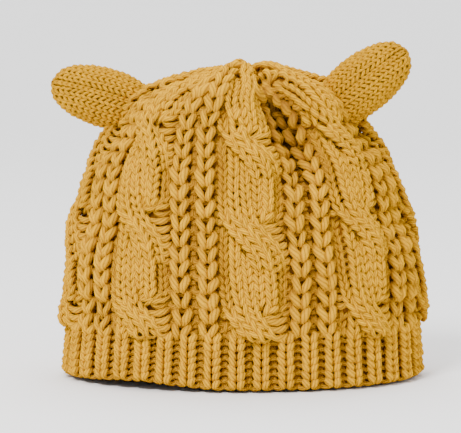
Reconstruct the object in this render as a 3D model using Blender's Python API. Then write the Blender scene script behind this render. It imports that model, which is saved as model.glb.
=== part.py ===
"""Knitted baby hat with two stuffed ears: ribbed brim, cabled crown and a pair of ears.

Metres, +Z up, the hat standing on its rim with its front towards -Y. The origin is the middle
of the hat's footprint on the surface it stands on.
"""

import math
from functools import lru_cache

import bmesh
import bpy
import numpy as np
from mathutils import Euler, Vector

MM = 0.001

# Driving sizes
HAT_WIDTH = 172.5 * MM  # side to side at the fullest place, on the ground fabric between the ribs
HAT_DEPTH = 110.0 * MM  # front to back at the same height
HAT_HEIGHT = 156.0 * MM  # rim to the highest ground fabric of the gathered top
BRIM_HEIGHT = 27.5 * MM
CROWN_WALL = 3.6 * MM  # ground fabric, under the cables and ribs
BRIM_WALL = 3.2 * MM
SEAM_GAP = 0.3 * MM  # gap between pieces that are knitted or sewn together
LINING_SHORT = 11.0 * MM  # how far before the gather the crown's inside closes
CAST_ON_EDGE = 1.2 * MM  # height in which the brim's lower edge rounds off

# Relief of the knitting, above the ground fabric
CABLE_RISE = 3.6 * MM
CROSSING_RISE = 2.6 * MM  # how much more the front strand of a cable stands up where it crosses
CROSSING_SINK = 1.9 * MM  # how much lower the strand behind it lies there
BODY_RIB_RISE = 3.2 * MM
BRIM_RIB_RISE = 2.6 * MM
CABLE_PITCH = 46.5 * MM  # from one crossing to the next up a cable
CROSSING_REACH = 9.5 * MM  # half of the height in which the two strands change places
CROSSING_TURN = 1.5  # how sharply the strands turn to cross, 1 being gentle
SEAM_KEEP = 0.6  # share of the relief that is left at the seam to the brim
SEAM_EASE = 7.0 * MM  # height above the brim in which the relief reaches its full rise
GATHER_KEEP = 0.2
GATHER_EASE = 38.0 * MM  # distance from the gather in which it sinks again

STRAND_HALF = 0.56  # half of a strand's width, as a share of half the cable's
STRAND_SPREAD = 0.20  # how much wider a strand spreads where it crosses
PANEL_SHARE = 0.86  # height of the valley between the two strands, as a share of theirs

# Stitch counts
REPEATS = 8  # cables around the hat, each followed by a pair of ribs
BRIM_RIBS = 40
PATTERN_TURN = 3.6  # degrees from the hat's middle line to the front cable's, towards +X

# Ears
EAR_LENGTH = 46.0 * MM  # from where it is sewn on to its tip
EAR_WIDTH = 29.5 * MM
EAR_THICKNESS = 24.0 * MM
EAR_ROOT = 9.0 * MM  # how far the ear's uncut foot reaches into the crown
EAR_POINTS = 20

# Sections of the ground fabric from the rim to the gathered top, as shares of half the width,
# half the depth and the height. Spread, in degrees, is how far the stitches of the front and
# the back are drawn towards the hat's two sides.
SECTIONS = (
    # height, half_width, half_depth, spread
    (0.000, 1.012, 1.010, 0.0),
    (0.060, 1.000, 1.000, 0.0),
    (0.180, 0.998, 0.998, 0.0),
    (0.240, 1.006, 1.004, 0.0),
    (0.320, 1.003, 1.003, 0.0),
    (0.420, 0.985, 0.992, 0.5),
    (0.520, 0.936, 0.962, 1.5),
    (0.620, 0.884, 0.930, 3.0),
    (0.700, 0.836, 0.892, 4.5),
    (0.775, 0.732, 0.835, 6.5),
    (0.840, 0.662, 0.770, 9.0),
    (0.895, 0.604, 0.680, 11.0),
    (0.925, 0.530, 0.580, 12.0),
    (0.947, 0.420, 0.460, 11.0),
    (0.968, 0.290, 0.335, 8.0),
    (0.988, 0.160, 0.200, 4.0),
    (1.000, 0.060, 0.080, 0.0),
)

# Folds pressed into the crown, each along a gutter between two cables. Around is counted in
# repeats from the front cable towards +X, depth is a share of half the hat's depth, and lowest
# and deepest are shares of the crown's length from brim to gather, over the surface.
FOLDS = (
    # around, depth, half_width_in_repeats, lowest, deepest
    (0.50, 0.190, 0.27, 0.34, 0.70),
    (-0.50, 0.027, 0.26, 0.55, 0.80),
    (-1.50, 0.073, 0.26, 0.55, 0.85),
    (1.50, 0.073, 0.26, 0.55, 0.85),
    (2.50, 0.073, 0.30, 0.45, 0.80),
    (-2.50, 0.091, 0.30, 0.40, 0.78),
    (3.50, 0.127, 0.30, 0.40, 0.75),
)
FOLD_RELEASE = 0.16  # share of the crown's length in which the folds run out at the gather

# Height of the lowest crossing of each cable above the brim, as a share of CABLE_PITCH,
# starting at the front cable and going round towards +X.
FIRST_CROSSINGS = (0.20, 0.30, 0.26, 0.28, 0.215, 0.29, 0.25, 0.31)

# The crown's pattern across one repeat, from one cable's middle to the next, in repeats.
CABLE_HALF = 0.285
RIB_PLACES = (0.405, 0.595)
RIB_HALF = 0.095

# The crown's mesh lines, as shares of half a cable's and half a rib's width.
CABLE_LINES = (-1.0, -0.86, -0.63, -0.32, 0.0, 0.32, 0.63, 0.86, 1.0)
RIB_LINES = (-0.6, 0.0, 0.6)
CROWN_ROWS = 33
FINE_ROWS = 28  # rows that keep every mesh line; the rows nearer the gather keep every second
LINING_ROWS = 10

# One rib of the brim, as shares of its width and of its rise, from gutter to gutter.
BRIM_RIB_PROFILE = ((0.00, 0.0), (0.26, 0.85), (0.50, 1.0), (0.74, 0.85))

# Levels of the brim's outside, as height and the share of the ribs' rise that is kept there.
BRIM_LEVELS = ((0.0, 0.45), (CAST_ON_EDGE, 1.0), (BRIM_HEIGHT, 1.0))

# Ear sections from the foot to the tip, as shares of the length and of half its width and
# thickness.
EAR_SECTIONS = (
    # along, half_width, half_thickness
    (0.00, 0.60, 0.52),
    (0.12, 0.72, 0.68),
    (0.28, 0.92, 0.90),
    (0.45, 1.00, 1.00),
    (0.62, 0.98, 0.96),
    (0.78, 0.86, 0.84),
    (0.90, 0.66, 0.62),
    (0.97, 0.40, 0.37),
    (1.00, 0.12, 0.11),
)
EAR_STATIONS = (0.0, 0.12, 0.24, 0.37, 0.50, 0.63, 0.75, 0.85, 0.92, 0.97, 1.0)

# Where each ear is sewn on: its foot's middle as shares of half the width, half the depth and
# the height, and its turns in degrees, lean from upright about Y, then forward about X.
EARS = (
    # name, foot_x, foot_y, foot_z, lean, forward, twist
    ("ear_left", -0.600, 0.05, 0.876, -75.0, 2.0, 14.0),
    ("ear_right", 0.505, -0.16, 0.864, 52.0, 4.0, -12.0),
)

YARN_COLOUR = (0.66, 0.37, 0.075)
YARN_ROUGHNESS = 0.9
BRIM_SHADE = 0.97  # the brim's colour, as a share of the crown's
EAR_SHADE = 1.03

CREASE_ANGLE = 50.0  # degrees between faces, past which an edge isn't shaded smooth
SAMPLES = 360  # steps in which a curve's length is measured
SLOPE_STEP = 0.4 * MM  # how far to each side the surface is read for its slope


def clear_scene():
    """Start from an empty scene."""
    for old in list(bpy.data.objects):
        bpy.data.objects.remove(old)


def yarn_material(name, shade):
    """Matt mustard wool, a little lighter or darker from piece to piece."""
    material = bpy.data.materials.new(name)
    material.use_nodes = True
    shader = material.node_tree.nodes["Principled BSDF"]
    shader.inputs["Base Color"].default_value = [c * shade for c in YARN_COLOUR] + [1.0]
    shader.inputs["Roughness"].default_value = YARN_ROUGHNESS
    shader.inputs["Metallic"].default_value = 0.0
    return material


def smooth_step(x):
    """Ease from 0 to 1 as x goes from 0 to 1."""
    x = np.clip(x, 0.0, 1.0)
    return x * x * (3.0 - 2.0 * x)


def curve_through(xs, ys, x):
    """Smooth curve through a table's points, by cubic Hermite pieces."""
    xs = np.asarray(xs, float)
    ys = np.asarray(ys, float)
    slopes = np.gradient(ys, xs)
    i = np.clip(np.searchsorted(xs, x, side="right") - 1, 0, len(xs) - 2)
    width = xs[i + 1] - xs[i]
    t = (x - xs[i]) / width
    return (
        (2 * t**3 - 3 * t**2 + 1) * ys[i]
        + (t**3 - 2 * t**2 + t) * width * slopes[i]
        + (3 * t**2 - 2 * t**3) * ys[i + 1]
        + (t**3 - t**2) * width * slopes[i + 1]
    )


class GroundFabric:
    """The smooth surface that the ribs and cables stand on, by run over the surface from the rim
    and by turns around the hat."""

    def __init__(self):
        rows = np.array(SECTIONS)
        self.height = rows[:, 0] * HAT_HEIGHT
        self.half_width = rows[:, 1] * HAT_WIDTH / 2
        self.half_depth = rows[:, 2] * HAT_DEPTH / 2
        self.spread = np.radians(rows[:, 3])
        reach = (self.half_width + self.half_depth) / 2
        steps = np.hypot(np.diff(self.height), np.diff(reach))
        self.run = np.concatenate([[0.0], np.cumsum(steps)])
        self.length = self.run[-1]
        fine = np.linspace(0.0, self.length, SAMPLES)
        heights = curve_through(self.run, self.height, fine)
        rising = heights[: int(np.argmax(heights)) + 1]
        self.seam_run = float(np.interp(BRIM_HEIGHT + SEAM_GAP, rising, fine[: len(rising)]))
        self.brim_top_run = float(np.interp(BRIM_HEIGHT, rising, fine[: len(rising)]))

    def section(self, run):
        """Half width, half depth, height and spread at one run."""
        return (
            curve_through(self.run, self.half_width, run),
            curve_through(self.run, self.half_depth, run),
            curve_through(self.run, self.height, run),
            curve_through(self.run, self.spread, run),
        )

    @lru_cache(maxsize=None)
    def ring(self, run):
        """The section at one run, with the angles that divide it into even lengths."""
        a, b, z, spread = (float(value) for value in self.section(run))
        steps = np.linspace(0.0, 2 * math.pi, SAMPLES + 1)
        pieces = np.hypot(a * np.cos(steps), b * np.sin(steps))
        lengths = np.concatenate([[0.0], np.cumsum((pieces[1:] + pieces[:-1]) / 2)])
        return a, b, z, spread, lengths / lengths[-1], steps

    def point(self, run, turn):
        """Point at a run and at turns (0 to 1) of even length around, from the front towards +X."""
        a, b, z, spread, lengths, steps = self.ring(run)
        drawn = turn + spread * math.sin(4 * math.pi * turn) / (2 * math.pi)
        angle = float(np.interp(drawn % 1.0, lengths, steps))
        return Vector((a * math.sin(angle), -b * math.cos(angle), z))

    def normal(self, run, turn):
        """Outward normal, from the surface a little to each side."""
        low = min(max(run - SLOPE_STEP, 0.0), self.length - 2 * SLOPE_STEP)
        up = self.point(low + 2 * SLOPE_STEP, turn) - self.point(low, turn)
        aside = 1.0 / SAMPLES
        across = self.point(run, turn + aside) - self.point(run, turn - aside)
        return across.cross(up).normalized()


def cable_height(across, above_brim, first_crossing):
    """Relief of a cable of two strands that lie side by side and change places at each crossing,
    one in front of the other. Across runs from -1 at the -X edge to 1 at the +X edge."""
    crossings = (above_brim - first_crossing) / CABLE_PITCH
    from_crossing = (crossings - round(crossings)) * CABLE_PITCH
    crossing = math.exp(-((from_crossing / CROSSING_REACH) ** 2))
    aside = (1.0 - STRAND_HALF) * math.tanh(CROSSING_TURN * from_crossing / CROSSING_REACH)
    half = STRAND_HALF + STRAND_SPREAD * crossing
    front = math.sqrt(max(0.0, 1.0 - ((across + aside) / half) ** 2))
    back = math.sqrt(max(0.0, 1.0 - ((across - aside) / half) ** 2))
    panel = math.sqrt(max(0.0, 1.0 - abs(across) ** 4)) * PANEL_SHARE * (1.0 - crossing)
    rise = max(front, panel) * (CABLE_RISE + CROSSING_RISE * crossing)
    sunk = max(back, panel) * (CABLE_RISE - CROSSING_SINK * crossing)
    return max(rise, sunk)


def pattern_height(run, repeats, fabric):
    """Relief of the crown's stitch pattern at a place counted in repeats from the front cable.
    It is lower at the seam to the brim, and where the yarn draws the gather together."""
    above_brim = run - fabric.seam_run
    to_gather = fabric.length - run
    start = SEAM_KEEP + (1.0 - SEAM_KEEP) * smooth_step(above_brim / SEAM_EASE)
    end = GATHER_KEEP + (1.0 - GATHER_KEEP) * smooth_step(to_gather / GATHER_EASE)
    cable = round(repeats)
    place = repeats - cable
    if abs(place) <= CABLE_HALF:
        first = FIRST_CROSSINGS[cable % len(FIRST_CROSSINGS)] * CABLE_PITCH
        height = cable_height(place / CABLE_HALF, above_brim, first)
    else:
        offset = min(abs(place % 1.0 - rib) for rib in RIB_PLACES)
        height = BODY_RIB_RISE * math.sqrt(max(0.0, 1.0 - (offset / RIB_HALF) ** 2))
    return height * float(start * end)


def fold_depth(run, repeats, fabric):
    """How far the crown is pressed in at a place."""
    share = (run - fabric.seam_run) / (fabric.length - fabric.seam_run)
    depth = 0.0
    for around, deepest, half_width, lowest, full in FOLDS:
        away = (repeats - around + REPEATS / 2) % REPEATS - REPEATS / 2
        ramp = float(smooth_step((share - lowest) / (full - lowest)))
        release = float(smooth_step((1.0 - share) / FOLD_RELEASE))
        pressed = deepest * HAT_DEPTH / 2 * math.exp(-((away / half_width) ** 2))
        depth += pressed * ramp * release
    return depth


def crown_point(fabric, run, repeats, rise=0.0, relief=True):
    """A point of the crown, raised by rise above the relief or, with no relief, above the ground."""
    turn = repeats / REPEATS + PATTERN_TURN / 360.0
    normal = fabric.normal(run, turn)
    height = rise - fold_depth(run, repeats, fabric)
    if relief:
        height += pattern_height(run, repeats, fabric)
    return fabric.point(run, turn) + normal * height


def flat_start(point, level):
    """The point set on a level, for a piece that starts or ends on a flat seam."""
    return Vector((point.x, point.y, level))


def join_rings(mesh, low, high):
    """Faces between two rings of as many points, or where one has twice the other's."""
    if len(low) < len(high):
        low, high = high, low
    count = len(high)
    if len(low) == count:
        for i in range(count):
            j = (i + 1) % count
            mesh.faces.new((low[i], low[j], high[j]))
            mesh.faces.new((low[i], high[j], high[i]))
        return
    for i in range(count):
        j = (i + 1) % count
        first, middle, last = low[2 * i], low[2 * i + 1], low[(2 * i + 2) % len(low)]
        mesh.faces.new((first, middle, high[i]))
        mesh.faces.new((middle, high[j], high[i]))
        mesh.faces.new((middle, last, high[j]))


def close_ring(mesh, ring):
    """A fan of triangles from a ring to its middle."""
    middle = sum((v.co for v in ring), Vector()) / len(ring)
    centre = mesh.verts.new(middle)
    for i, vertex in enumerate(ring):
        mesh.faces.new((vertex, ring[(i + 1) % len(ring)], centre))


def add_object(name, mesh, material):
    """An object from a bmesh, its normals pointing out and its round faces shaded smooth."""
    bmesh.ops.recalc_face_normals(mesh, faces=mesh.faces)
    data = bpy.data.meshes.new(name)
    mesh.to_mesh(data)
    mesh.free()
    data.materials.append(material)
    data.shade_smooth()
    data.set_sharp_from_angle(angle=math.radians(CREASE_ANGLE))
    new = bpy.data.objects.new(name, data)
    bpy.context.scene.collection.objects.link(new)
    return new


def crown_lines():
    """Places of the crown's upright mesh lines around the hat, in repeats."""
    cable = [share * CABLE_HALF for share in CABLE_LINES]
    ribs = [place + share * RIB_HALF for place in RIB_PLACES for share in RIB_LINES]
    gutter = sum(RIB_PLACES) / len(RIB_PLACES)
    return [k + place for k in range(REPEATS) for place in sorted(cable + ribs + [gutter])]


def crown_shell(mesh, fabric, extra=0.0):
    """The crown's outer rings, closed over the gather, with its relief raised by extra."""
    lines = crown_lines()
    runs = np.linspace(fabric.seam_run, fabric.length, CROWN_ROWS)
    rings = []
    for row, run in enumerate(runs):
        kept = lines if row < FINE_ROWS else lines[::2]
        points = [crown_point(fabric, run, place, extra) for place in kept]
        if row == 0:
            points = [flat_start(p, BRIM_HEIGHT + SEAM_GAP - extra) for p in points]
        rings.append([mesh.verts.new(p) for p in points])
    for low, high in zip(rings, rings[1:]):
        join_rings(mesh, low, high)
    close_ring(mesh, rings[-1])
    return rings[0], lines


def build_crown(fabric):
    """The cabled crown: a hollow knitted shell, open at the seam to the brim."""
    mesh = bmesh.new()
    outer_foot, lines = crown_shell(mesh, fabric)
    inner_top = fabric.length - LINING_SHORT
    inner_rings = []
    for row, run in enumerate(np.linspace(fabric.seam_run, inner_top, LINING_ROWS)):
        points = [crown_point(fabric, run, place, -CROWN_WALL, relief=False) for place in lines[::2]]
        if row == 0:
            points = [flat_start(p, BRIM_HEIGHT + SEAM_GAP) for p in points]
        inner_rings.append([mesh.verts.new(p) for p in points])
    for low, high in zip(inner_rings, inner_rings[1:]):
        join_rings(mesh, low, high)
    close_ring(mesh, inner_rings[-1])
    join_rings(mesh, outer_foot, inner_rings[0])
    return add_object("crown", mesh, yarn_material("crown_yarn", 1.0))


def build_brim(fabric):
    """The ribbed brim: a band of upright ribs, flat where it stands and where the crown starts."""
    mesh = bmesh.new()
    outer = []
    for level, keep in BRIM_LEVELS:
        run = level / BRIM_HEIGHT * fabric.brim_top_run
        ring = []
        for rib in range(BRIM_RIBS):
            for place, rise in BRIM_RIB_PROFILE:
                turn = (rib + place) / BRIM_RIBS + PATTERN_TURN / 360.0
                height = BRIM_RIB_RISE * rise * keep
                point = fabric.point(run, turn) + fabric.normal(run, turn) * height
                ring.append(mesh.verts.new(flat_start(point, level)))
        outer.append(ring)
    inner = []
    for level in (0.0, BRIM_HEIGHT):
        run = level / BRIM_HEIGHT * fabric.brim_top_run
        ring = []
        for place in range(BRIM_RIBS * 2):
            turn = place / (BRIM_RIBS * 2) + PATTERN_TURN / 360.0
            point = fabric.point(run, turn) - fabric.normal(run, turn) * BRIM_WALL
            ring.append(mesh.verts.new(flat_start(point, level)))
        inner.append(ring)
    for low, high in zip(outer, outer[1:]):
        join_rings(mesh, low, high)
    join_rings(mesh, outer[0], inner[0])
    join_rings(mesh, outer[-1], inner[-1])
    join_rings(mesh, inner[0], inner[1])
    return add_object("brim", mesh, yarn_material("brim_yarn", BRIM_SHADE))


def build_seat_cutter(fabric):
    """The space that the ears keep clear of: the crown's closed outside, raised by the seam gap."""
    mesh = bmesh.new()
    foot, _ = crown_shell(mesh, fabric, SEAM_GAP)
    close_ring(mesh, foot)
    cutter = add_object("ear_seat_cutter", mesh, yarn_material("guide", 1.0))
    cutter.hide_render = True
    cutter.display_type = "WIRE"
    return cutter


def build_ear(row, cutter):
    """A stuffed ear: an almond sewn on by its foot, which follows the crown under it."""
    name, foot_x, foot_y, foot_z, lean, forward, twist = row
    mesh = bmesh.new()
    along, half_width, half_thickness = np.array(EAR_SECTIONS).T
    rings = []
    for station in EAR_STATIONS:
        wide = curve_through(along, half_width, station) * EAR_WIDTH / 2
        thick = curve_through(along, half_thickness, station) * EAR_THICKNESS / 2
        level = -EAR_ROOT + station * (EAR_LENGTH + EAR_ROOT)
        ring = []
        for k in range(EAR_POINTS):
            angle = 2 * math.pi * k / EAR_POINTS
            ring.append(mesh.verts.new((wide * math.cos(angle), thick * math.sin(angle), level)))
        rings.append(ring)
    for low, high in zip(rings, rings[1:]):
        join_rings(mesh, low, high)
    close_ring(mesh, rings[0])
    close_ring(mesh, rings[-1])
    ear = add_object(name, mesh, yarn_material(name + "_yarn", EAR_SHADE))
    ear.location = (foot_x * HAT_WIDTH / 2, foot_y * HAT_DEPTH / 2, foot_z * HAT_HEIGHT)
    turns = (math.radians(forward), math.radians(lean), 0.0)
    ear.rotation_mode = "QUATERNION"
    spin = Euler((0.0, 0.0, math.radians(twist)), "XYZ").to_quaternion()
    ear.rotation_quaternion = Euler(turns, "XYZ").to_quaternion() @ spin
    cut = ear.modifiers.new("follow_crown", "BOOLEAN")
    cut.operation = "DIFFERENCE"
    cut.solver = "EXACT"
    cut.object = cutter
    return ear


def middle_of_footprint(objects):
    """The middle of the box around the finished objects, at the level they stand on."""
    bpy.context.view_layer.update()
    view = bpy.context.evaluated_depsgraph_get()
    corners = []
    for piece in objects:
        finished = piece.evaluated_get(view)
        corners += [finished.matrix_world @ v.co for v in finished.data.vertices]
    xs = [corner.x for corner in corners]
    ys = [corner.y for corner in corners]
    return Vector(((min(xs) + max(xs)) / 2, (min(ys) + max(ys)) / 2, 0.0))


def main():
    clear_scene()
    fabric = GroundFabric()
    brim = build_brim(fabric)
    crown = build_crown(fabric)
    cutter = build_seat_cutter(fabric)
    ears = [build_ear(row, cutter) for row in EARS]
    hat = bpy.data.objects.new("hat", None)
    bpy.context.scene.collection.objects.link(hat)
    for piece in (brim, crown, cutter, *ears):
        piece.parent = hat
    hat.location = -middle_of_footprint([brim, crown, *ears])


main()
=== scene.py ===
import math

import bmesh
import bpy
import numpy as np
from mathutils import Euler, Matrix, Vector


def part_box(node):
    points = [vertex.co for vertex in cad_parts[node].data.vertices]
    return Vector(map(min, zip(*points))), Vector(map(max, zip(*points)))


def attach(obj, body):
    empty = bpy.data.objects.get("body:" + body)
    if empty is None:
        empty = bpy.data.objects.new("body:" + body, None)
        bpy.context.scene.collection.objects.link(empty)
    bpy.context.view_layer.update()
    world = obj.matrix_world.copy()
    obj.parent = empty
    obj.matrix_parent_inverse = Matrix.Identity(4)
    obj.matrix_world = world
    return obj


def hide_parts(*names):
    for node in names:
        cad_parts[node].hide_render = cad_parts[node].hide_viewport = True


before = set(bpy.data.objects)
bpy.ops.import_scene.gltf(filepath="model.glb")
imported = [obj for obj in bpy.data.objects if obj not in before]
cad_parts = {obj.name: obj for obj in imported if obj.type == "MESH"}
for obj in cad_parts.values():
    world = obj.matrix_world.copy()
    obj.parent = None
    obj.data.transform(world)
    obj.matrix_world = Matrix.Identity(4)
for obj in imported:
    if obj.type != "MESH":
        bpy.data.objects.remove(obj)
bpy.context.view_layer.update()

# The brim
# A band of thick mustard wool, knitted first, in single raised knit columns with a sunk purl
# column between them. Its lower edge is the cast-on row, which shows as a line of round knobs.

MM = 0.001
rim_low, rim_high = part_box("brim")
HAT_MIDDLE = Vector(((rim_low.x + rim_high.x) / 2, (rim_low.y + rim_high.y) / 2, rim_low.z))
BRIM_HEIGHT = rim_high.z - rim_low.z

HAT_WIDTH = 172.5 * MM
HAT_DEPTH = 110.0 * MM
HAT_HEIGHT = 156.0 * MM
REPEATS = 8  # cables around the hat, each with a pair of ribs beside it
PATTERN_TURN = 3.6 / 360.0  # the middle of the front cable, from straight ahead

SECTIONS = (
    # height, half width and half depth as shares of the hat's own, how far the pattern is spread at
    # the front and back in degrees, shift to +X and to -Y in mm
    (0.000, 1.026, 1.012, 1.6, -0.8, 0.0),
    (0.060, 1.018, 1.002, 1.6, -0.8, 0.0),
    (0.180, 0.999, 0.998, 1.6, -0.5, 0.0),
    (0.240, 0.982, 1.000, 1.6, 0.0, 0.0),
    (0.320, 0.999, 1.000, 1.6, -0.2, 0.0),
    (0.420, 0.976, 0.988, 2.0, -0.8, 0.0),
    (0.520, 0.908, 0.958, 2.6, -1.4, 0.0),
    (0.620, 0.884, 0.928, 3.6, -1.8, 0.3),
    (0.700, 0.822, 0.890, 5.0, -2.4, 0.8),
    (0.775, 0.698, 0.845, 7.0, -3.0, 1.5),
    (0.835, 0.650, 0.800, 8.0, -2.4, 2.6),
    (0.886, 0.612, 0.745, 8.0, -1.2, 4.0),
    (0.918, 0.552, 0.690, 7.5, -0.4, 5.0),
    (0.944, 0.458, 0.610, 6.5, 0.4, 6.0),
    (0.965, 0.340, 0.480, 5.0, 0.8, 7.0),
    (0.975, 0.245, 0.340, 3.0, 1.4, 7.6),
    (0.978, 0.150, 0.190, 2.0, 1.6, 8.0),
    (0.972, 0.030, 0.042, 0.0, 1.6, 8.0),
)
FOLDS = (
    # place around in repeats, depth as a share of half the hat's depth (below 0 it stands out), half
    # width in repeats, and the shares up the crown where it begins and where it is full
    (0.49, 0.320, 0.19, 0.36, 0.66),
    (-0.42, -0.085, 0.22, 0.50, 0.85),
    (-1.50, 0.073, 0.26, 0.55, 0.85),
    (1.50, 0.073, 0.26, 0.55, 0.85),
    (2.50, 0.073, 0.30, 0.45, 0.80),
    (-2.50, 0.091, 0.30, 0.40, 0.78),
    (3.50, 0.127, 0.30, 0.40, 0.75),
)
FOLD_RELEASE = 0.07  # share of the crown below the gather over which the folds run out
CREASE_TURN = 0.5 / REPEATS + PATTERN_TURN
CREASE_DRAWN = 0.046  # share of a turn that the columns are drawn over at the front crease
CREASE_REACH = 0.060
CREASE_LOWEST = 116.0 * MM
CREASE_FULL = 155.0 * MM
RIM_WAVE = 3.2 * MM  # how far the rim is lifted off the table at its front left
RIM_WAVE_PLACE = -54.0 * MM
RIM_WAVE_REACH = 27.0 * MM
RIM_WAVE_FADE = 20.0 * MM
TOP_RISE = 2.8 * MM  # how far the top is drawn up to the left of the notch
TOP_RISE_PLACE = 11.0 * MM
TOP_RISE_REACH = 9.0 * MM
TOP_RISE_FROM = 138.0 * MM
TOP_RISE_FADE = 12.0 * MM
HAT_ROWS = 400
HAT_COLUMNS = 960
OVAL_POINTS = 721


def bell(x):
    """A smooth bump, 1 high at 0 and almost 0 from 2 on."""
    return np.exp(-(x**2))


def smooth_step(x):
    """Ease from 0 to 1 as x goes from 0 to 1."""
    x = np.clip(x, 0.0, 1.0)
    return x * x * (3.0 - 2.0 * x)


def curve_through(xs, ys, x):
    """Smooth curve through a table's points, by cubic Hermite pieces."""
    slopes = np.gradient(ys, xs)
    i = np.clip(np.searchsorted(xs, x, side="right") - 1, 0, len(xs) - 2)
    width = xs[i + 1] - xs[i]
    t = (x - xs[i]) / width
    return (
        (2 * t**3 - 3 * t**2 + 1) * ys[i]
        + (t**3 - 2 * t**2 + t) * width * slopes[i]
        + (3 * t**2 - 2 * t**3) * ys[i + 1]
        + (t**3 - t**2) * width * slopes[i + 1]
    )


def unit(vectors):
    """Vectors made one long."""
    return vectors / np.linalg.norm(vectors, axis=-1, keepdims=True)


class Lattice:
    """A surface closed around, read at any run up it and any turn (0 to 1) around it."""

    def __init__(self, places, runs):
        self.places = places
        # how far each point is pressed in, which the wool's colour also turns into painted shade in the
        # folds
        self.sunk = np.zeros((*places.shape[:2], 1))
        self.length = runs[-1]
        self.step = runs[1] - runs[0]
        self.slopes()

    def slopes(self):
        """Unit vectors across, along and out of the surface at each of its points."""
        ahead = np.roll(self.places, -1, axis=1) - np.roll(self.places, 1, axis=1)
        self.across = unit(ahead)
        self.along = unit(np.gradient(self.places, axis=0))
        self.out = unit(np.cross(self.across, self.along))

    def press(self, depth):
        """Press the surface in, by a depth for each of its points."""
        self.places = self.places - self.out * depth[..., None]
        self.sunk = self.sunk + depth[..., None]
        self.slopes()

    def ring(self, run):
        """The points once around, in the row nearest to a run."""
        return self.places[int(round(np.clip(run, 0, self.length) / self.step))]

    def around(self, run):
        """Length once around at a run."""
        row = self.ring(run)
        return float(np.linalg.norm(np.roll(row, -1, axis=0) - row, axis=1).sum())

    def stretch(self, run, turn):
        """How far the surface is drawn out around at a place, against the whole of its round."""
        row = self.ring(run)
        columns = len(row)
        before, after = 2, 3
        j = int((turn % 1.0) * columns)
        gap = row[(j + after) % columns] - row[j - before]
        return float(np.linalg.norm(gap)) * columns / (before + after) / self.around(run)

    def at(self, run, turn):
        """Place, the unit vectors across, along and out, and how far the place is pressed in, for
        arrays of runs and turns."""
        rows, columns = self.places.shape[:2]
        row = np.clip(run / self.step, 0, rows - 1.0001)  # short of the last, so one is above it
        column = (turn % 1.0) * columns
        i = row.astype(int)
        j = column.astype(int)
        u = (row - i)[..., None]
        v = (column - j)[..., None]
        j = j % columns
        k = (j + 1) % columns
        read = []
        for grid in (self.places, self.across, self.along, self.out, self.sunk):
            low = grid[i, j] * (1 - v) + grid[i, k] * v
            high = grid[i + 1, j] * (1 - v) + grid[i + 1, k] * v
            read.append(low * (1 - u) + high * u)
        return read[0], unit(read[1]), unit(read[2]), unit(read[3]), read[4][..., 0]


def hat_form():
    """The surface that the hat's stitches lie on: oval sections, spaced evenly around."""
    height, wide, deep, spread, shift, forward = np.array(SECTIONS).T
    height = height * HAT_HEIGHT
    wide = wide * HAT_WIDTH / 2
    deep = deep * HAT_DEPTH / 2
    steps = np.hypot(np.diff(height), np.diff((wide + deep) / 2))
    run = np.concatenate([[0.0], np.cumsum(steps)])
    runs = np.linspace(0.0, run[-1], HAT_ROWS)
    turns = np.arange(HAT_COLUMNS) / HAT_COLUMNS
    angles = np.linspace(0.0, 2 * math.pi, OVAL_POINTS)
    places = np.zeros((len(runs), len(turns), 3))
    for row, here in enumerate(runs):
        columns = (wide, deep, height, np.radians(spread), shift * MM, forward * MM)
        a, b, z, drawn, aside, ahead = (curve_through(run, values, here) for values in columns)
        pieces = np.hypot(a * np.cos(angles), b * np.sin(angles))
        lengths = np.concatenate([[0.0], np.cumsum((pieces[1:] + pieces[:-1]) / 2)])
        moved = turns + drawn * np.sin(4 * math.pi * turns) / (2 * math.pi)
        crease = bell((turns - CREASE_TURN) / CREASE_REACH)
        crease = crease * smooth_step((z - CREASE_LOWEST) / (CREASE_FULL - CREASE_LOWEST))
        moved = moved - CREASE_DRAWN * crease
        angle = np.interp(moved % 1.0, lengths / lengths[-1], angles)
        x = a * np.sin(angle) + aside
        y = -b * np.cos(angle) - ahead
        lifted = bell((x - RIM_WAVE_PLACE) / RIM_WAVE_REACH) * smooth_step(-y / RIM_WAVE_FADE)
        lifted = lifted * (1.0 - smooth_step(z / BRIM_HEIGHT)) * RIM_WAVE
        top = bell((x - TOP_RISE_PLACE) / TOP_RISE_REACH) * TOP_RISE
        lifted = lifted + top * smooth_step((z - TOP_RISE_FROM) / TOP_RISE_FADE)
        places[row] = np.stack([x, y, z + lifted], axis=1)
    return Lattice(places + np.array(HAT_MIDDLE), runs)


hat = hat_form()
rising = hat.places[:, 0, 2] - HAT_MIDDLE.z
rising = rising[: int(np.argmax(rising)) + 1]
brim_run = float(np.interp(BRIM_HEIGHT, rising, np.arange(len(rising)) * hat.step))


def share_up_crown(run):
    """0 at the brim's upper edge and 1 at the gather."""
    return (run - brim_run) / (hat.length - brim_run)


def fold_depths():
    """How far each fold presses the crown in, for every point of the hat's surface."""
    runs = np.arange(HAT_ROWS)[:, None] * hat.step
    repeats = (np.arange(HAT_COLUMNS)[None, :] / HAT_COLUMNS - PATTERN_TURN) * REPEATS
    share = share_up_crown(runs)
    depth = np.zeros((HAT_ROWS, HAT_COLUMNS))
    for around, deepest, half_width, lowest, full in FOLDS:
        away = (repeats - around + REPEATS / 2) % REPEATS - REPEATS / 2
        ramp = smooth_step((share - lowest) / (full - lowest))
        release = smooth_step((1.0 - share) / FOLD_RELEASE)
        depth += deepest * HAT_DEPTH / 2 * bell(away / half_width) * ramp * release
    return depth


hat.press(fold_depths())


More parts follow.
